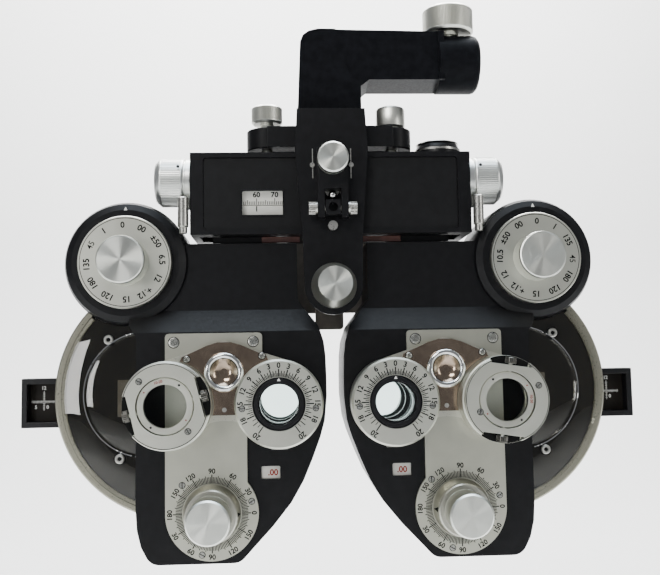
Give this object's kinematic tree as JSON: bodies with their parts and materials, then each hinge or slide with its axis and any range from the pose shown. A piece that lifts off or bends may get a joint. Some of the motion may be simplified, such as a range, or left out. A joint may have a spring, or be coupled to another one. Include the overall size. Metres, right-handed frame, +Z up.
{
  "type": "phoropter",
  "caption": "Eye-test refractor: two lens heads with dials, turrets and knurled wheels hang from a levelling bridge on a hanger arm with a stand bore.",
  "frame": {"origin": "on the axis of the bore that takes the stand arm, at the middle of the bore's length", "axes": "+X to the examiner's right and along the stand bore, -Y towards the examiner, +Z up"},
  "size_m": [0.352, 0.0878, 0.308],
  "materials": {
    "black_paint": "fine crinkle paint, low sheen",
    "steel": "plain turned steel",
    "turned_aluminium": "spun face, knurled rim",
    "chrome": "polished plating",
    "scale_white": "cream scale plate with black divisions",
    "rest_plastic": "moulded, dark grey brown",
    "red_oxide": "dark red-brown lacquer",
    "satin_plate": "satin lacquered plate",
    "clear_plastic": "polished clear moulding",
    "black_plastic": "moulded black plastic",
    "lens_glass": "polished and coated lenses",
    "dial_silver": "fine satin dial with engraved black figures",
    "disc_aluminium": "plain machined disc",
    "bronze_mirror": "bronze tinted polished shield"
  },
  "bodies": {
    "hanger": {"hanger_arm": "black_paint", "hanger_bracket": "black_paint", "bracket_screws": "steel", "level_yoke": "black_paint", "level_pivot_pin": "steel"},
    "arm_clamp": {"arm_clamp_knob": "turned_aluminium"},
    "level_screw": {"level_knob": "turned_aluminium"},
    "level_lock": {"level_lock_knob": "chrome"},
    "near_rod_holder": {"rod_holder": "steel"},
    "near_rod_clamp": {"rod_clamp_knob": "turned_aluminium"},
    "forehead_slide": {"forehead_rest": "rest_plastic"},
    "forehead_screw": {"forehead_knob": "turned_aluminium"},
    "bridge": {"bridge_housing": "black_paint", "bridge_front_panel": "black_paint", "guide_rails": "steel", "spirit_level": "chrome"},
    "pd_drive": {"pd_screw": "steel", "pd_knobs": "turned_aluminium"},
    "left_slide": {"left_carriage": "red_oxide", "pd_scale_plate": "scale_white"},
    "right_slide": {"right_carriage": "red_oxide", "pd_pointer_plate": "scale_white"},
    "right_head": {"right_front_cover": "black_paint", "right_back_cover": "black_paint", "right_base_plate": "satin_plate", "right_wheel_window": "clear_plastic", "right_vertex_sight": "black_plastic"},
    "right_lever": {"right_convergence_lever": "chrome"},
    "right_sphere": {"right_sphere_wheel": "satin_plate", "right_sphere_lenses": "lens_glass"},
    "right_aux_dial_body": {"right_aux_dial": "dial_silver"},
    "right_aux_disc_body": {"right_aux_lens_disc": "disc_aluminium"},
    "right_axis": {"right_axis_knob": "dial_silver"},
    "right_power": {"right_power_knob": "turned_aluminium"},
    "right_turret": {"right_turret_arm": "satin_plate", "right_turret_shield": "bronze_mirror", "right_prism_dial": "dial_silver"},
    "right_prism": {"right_prism_barrel": "black_plastic"},
    "right_prism_drive": {"right_prism_roller": "steel"},
    "right_cross_frame": {"right_cross_cyl_frame": "dial_silver"},
    "right_cross_lens": {"right_cross_cyl_lens": "dial_silver"},
    "left_head": {"left_front_cover": "black_paint", "left_back_cover": "black_paint", "left_base_plate": "satin_plate", "left_wheel_window": "clear_plastic", "left_vertex_sight": "black_plastic"},
    "left_lever": {"left_convergence_lever": "chrome"},
    "left_sphere": {"left_sphere_wheel": "satin_plate", "left_sphere_lenses": "lens_glass"},
    "left_aux_dial_body": {"left_aux_dial": "dial_silver"},
    "left_aux_disc_body": {"left_aux_lens_disc": "disc_aluminium"},
    "left_axis": {"left_axis_knob": "dial_silver"},
    "left_power": {"left_power_knob": "turned_aluminium"},
    "left_turret": {"left_turret_arm": "satin_plate", "left_turret_shield": "bronze_mirror", "left_prism_dial": "dial_silver"},
    "left_prism": {"left_prism_barrel": "black_plastic"},
    "left_prism_drive": {"left_prism_roller": "steel"},
    "left_cross_frame": {"left_cross_cyl_frame": "dial_silver"},
    "left_cross_lens": {"left_cross_cyl_lens": "dial_silver"}
  },
  "joints": [
    {"name": "arm_clamp_turn", "type": "hinge", "parent": "hanger", "child": "arm_clamp", "pos_m": [0.0089, 0, 0.02], "axis": [0, 0, 1], "range_deg": [0, 720]},
    {"name": "near_rod_fold", "type": "hinge", "parent": "hanger", "child": "near_rod_holder", "pos_m": [-0.062, -0.0305, -0.089], "axis": [1, 0, 0], "range_deg": [0, 90]},
    {"name": "near_rod_clamp_turn", "type": "hinge", "parent": "hanger", "child": "near_rod_clamp", "pos_m": [-0.062, -0.038, -0.0636], "axis": [0, -1, 0], "range_deg": [0, 360]},
    {"name": "forehead_rest_slide", "type": "slide", "parent": "hanger", "child": "forehead_slide", "axis": [0, 1, 0], "range_m": [0, 0.014]},
    {"name": "forehead_knob_turn", "type": "hinge", "parent": "hanger", "child": "forehead_screw", "pos_m": [-0.062, -0.034, -0.1304], "axis": [0, 1, 0], "range_deg": [0, 1261]},
    {"name": "bridge_level", "type": "hinge", "parent": "hanger", "child": "bridge", "pos_m": [-0.062, -0.002, -0.0781], "axis": [0, 1, 0], "range_deg": [-2.5, 2.5]},
    {"name": "level_knob_turn", "type": "hinge", "parent": "hanger", "child": "level_screw", "pos_m": [-0.0973, -0.004, -0.032], "axis": [0, 0, 1], "range_deg": [-280, 280]},
    {"name": "level_lock_turn", "type": "hinge", "parent": "hanger", "child": "level_lock", "pos_m": [-0.0267, -0.004, -0.032], "axis": [0, 0, 1], "range_deg": [0, 270]},
    {"name": "right_pd_slide", "type": "slide", "parent": "bridge", "child": "right_slide", "axis": [1, 0, 0], "range_m": [-0.004, 0.01]},
    {"name": "left_pd_slide", "type": "slide", "parent": "bridge", "child": "left_slide", "axis": [-1, 0, 0], "range_m": [-0.004, 0.01]},
    {"name": "pd_knob_turn", "type": "hinge", "parent": "bridge", "child": "pd_drive", "pos_m": [-0.062, 0, -0.0686], "axis": [1, 0, 0], "range_deg": [-180.5, 450.5]},
    {"name": "right_convergence", "type": "hinge", "parent": "right_slide", "child": "right_head", "pos_m": [-0.01, 0, -0.106], "axis": [0, 0, -1], "range_deg": [0, 5]},
    {"name": "right_lever_swing", "type": "hinge", "parent": "bridge", "child": "right_lever", "pos_m": [0.0189, -0.014, -0.0835], "axis": [-1, 0, 0], "range_deg": [0, 25]},
    {"name": "right_sphere_turn", "type": "hinge", "parent": "right_head", "child": "right_sphere", "pos_m": [0.022, -0.001, -0.187], "axis": [0, 1, 0], "continuous": true},
    {"name": "right_aux_disc_turn", "type": "hinge", "parent": "right_head", "child": "right_aux_disc_body", "pos_m": [0.022, 0.015, -0.187], "axis": [0, 1, 0], "continuous": true},
    {"name": "right_aux_dial_turn", "type": "hinge", "parent": "right_head", "child": "right_aux_dial_body", "pos_m": [0.0504, -0.02, -0.1156], "axis": [0, 1, 0], "continuous": true},
    {"name": "right_axis_turn", "type": "hinge", "parent": "right_head", "child": "right_axis", "pos_m": [0.0039, -0.03, -0.2493], "axis": [0, 1, 0], "continuous": true},
    {"name": "right_power_turn", "type": "hinge", "parent": "right_head", "child": "right_power", "pos_m": [0.0039, -0.042, -0.2493], "axis": [0, 1, 0], "continuous": true},
    {"name": "right_turret_turn", "type": "hinge", "parent": "right_head", "child": "right_turret", "pos_m": [-0.0032, -0.026, -0.1755], "axis": [0, 1, 0], "range_deg": [-120.4, 120.4]},
    {"name": "right_prism_turn", "type": "hinge", "parent": "right_turret", "child": "right_prism", "pos_m": [-0.032, -0.036, -0.192], "axis": [0, 1, 0], "continuous": true},
    {"name": "right_prism_roller_turn", "type": "hinge", "parent": "right_turret", "child": "right_prism_drive", "pos_m": [-0.032, -0.0332, -0.2123], "axis": [1, 0, 0], "continuous": true},
    {"name": "right_cross_axis_turn", "type": "hinge", "parent": "right_turret", "child": "right_cross_frame", "pos_m": [0.0256, -0.036, -0.192], "axis": [0, 1, 0], "continuous": true},
    {"name": "right_cross_flip", "type": "hinge", "parent": "right_cross_frame", "child": "right_cross_lens", "pos_m": [0.0256, -0.0416, -0.192], "axis": [0.1478, 0, 0.989], "range_deg": [0, 180]},
    {"name": "left_convergence", "type": "hinge", "parent": "left_slide", "child": "left_head", "pos_m": [-0.114, 0, -0.106], "axis": [0, 0, 1], "range_deg": [0, 5]},
    {"name": "left_lever_swing", "type": "hinge", "parent": "bridge", "child": "left_lever", "pos_m": [-0.1429, -0.014, -0.0835], "axis": [-1, 0, 0], "range_deg": [0, 25]},
    {"name": "left_sphere_turn", "type": "hinge", "parent": "left_head", "child": "left_sphere", "pos_m": [-0.146, -0.001, -0.187], "axis": [0, 1, 0], "continuous": true},
    {"name": "left_aux_disc_turn", "type": "hinge", "parent": "left_head", "child": "left_aux_disc_body", "pos_m": [-0.146, 0.015, -0.187], "axis": [0, 1, 0], "continuous": true},
    {"name": "left_aux_dial_turn", "type": "hinge", "parent": "left_head", "child": "left_aux_dial_body", "pos_m": [-0.1744, -0.02, -0.1156], "axis": [0, 1, 0], "continuous": true},
    {"name": "left_axis_turn", "type": "hinge", "parent": "left_head", "child": "left_axis", "pos_m": [-0.1279, -0.03, -0.2493], "axis": [0, 1, 0], "continuous": true},
    {"name": "left_power_turn", "type": "hinge", "parent": "left_head", "child": "left_power", "pos_m": [-0.1279, -0.042, -0.2493], "axis": [0, 1, 0], "continuous": true},
    {"name": "left_turret_turn", "type": "hinge", "parent": "left_head", "child": "left_turret", "pos_m": [-0.1208, -0.026, -0.1755], "axis": [0, 1, 0], "range_deg": [-120.4, 120.4]},
    {"name": "left_prism_turn", "type": "hinge", "parent": "left_turret", "child": "left_prism", "pos_m": [-0.092, -0.036, -0.192], "axis": [0, 1, 0], "continuous": true},
    {"name": "left_prism_roller_turn", "type": "hinge", "parent": "left_turret", "child": "left_prism_drive", "pos_m": [-0.092, -0.0332, -0.2123], "axis": [1, 0, 0], "continuous": true},
    {"name": "left_cross_axis_turn", "type": "hinge", "parent": "left_turret", "child": "left_cross_frame", "pos_m": [-0.1496, -0.036, -0.192], "axis": [0, 1, 0], "continuous": true},
    {"name": "left_cross_flip", "type": "hinge", "parent": "left_cross_frame", "child": "left_cross_lens", "pos_m": [-0.1496, -0.0416, -0.192], "axis": [-0.9703, 0, -0.2419], "range_deg": [0, 180]}
  ],
  "couplings": [
    {"joint": "forehead_knob_turn", "follows": "forehead_rest_slide", "rad_per_m": 1570.8},
    {"joint": "level_knob_turn", "follows": "bridge_level", "ratio": 110.9},
    {"joint": "left_pd_slide", "follows": "right_pd_slide", "ratio": 1},
    {"joint": "pd_knob_turn", "follows": "right_pd_slide", "rad_per_m": 785.4},
    {"joint": "right_aux_dial_turn", "follows": "right_aux_disc_turn", "ratio": 1},
    {"joint": "right_prism_roller_turn", "follows": "right_prism_turn", "ratio": 5},
    {"joint": "left_aux_dial_turn", "follows": "left_aux_disc_turn", "ratio": 1},
    {"joint": "left_prism_roller_turn", "follows": "left_prism_turn", "ratio": 5},
    {"joint": "left_convergence", "follows": "right_convergence", "ratio": 1},
    {"joint": "right_lever_swing", "follows": "right_convergence", "ratio": 5},
    {"joint": "left_lever_swing", "follows": "right_convergence", "ratio": 5}
  ]
}
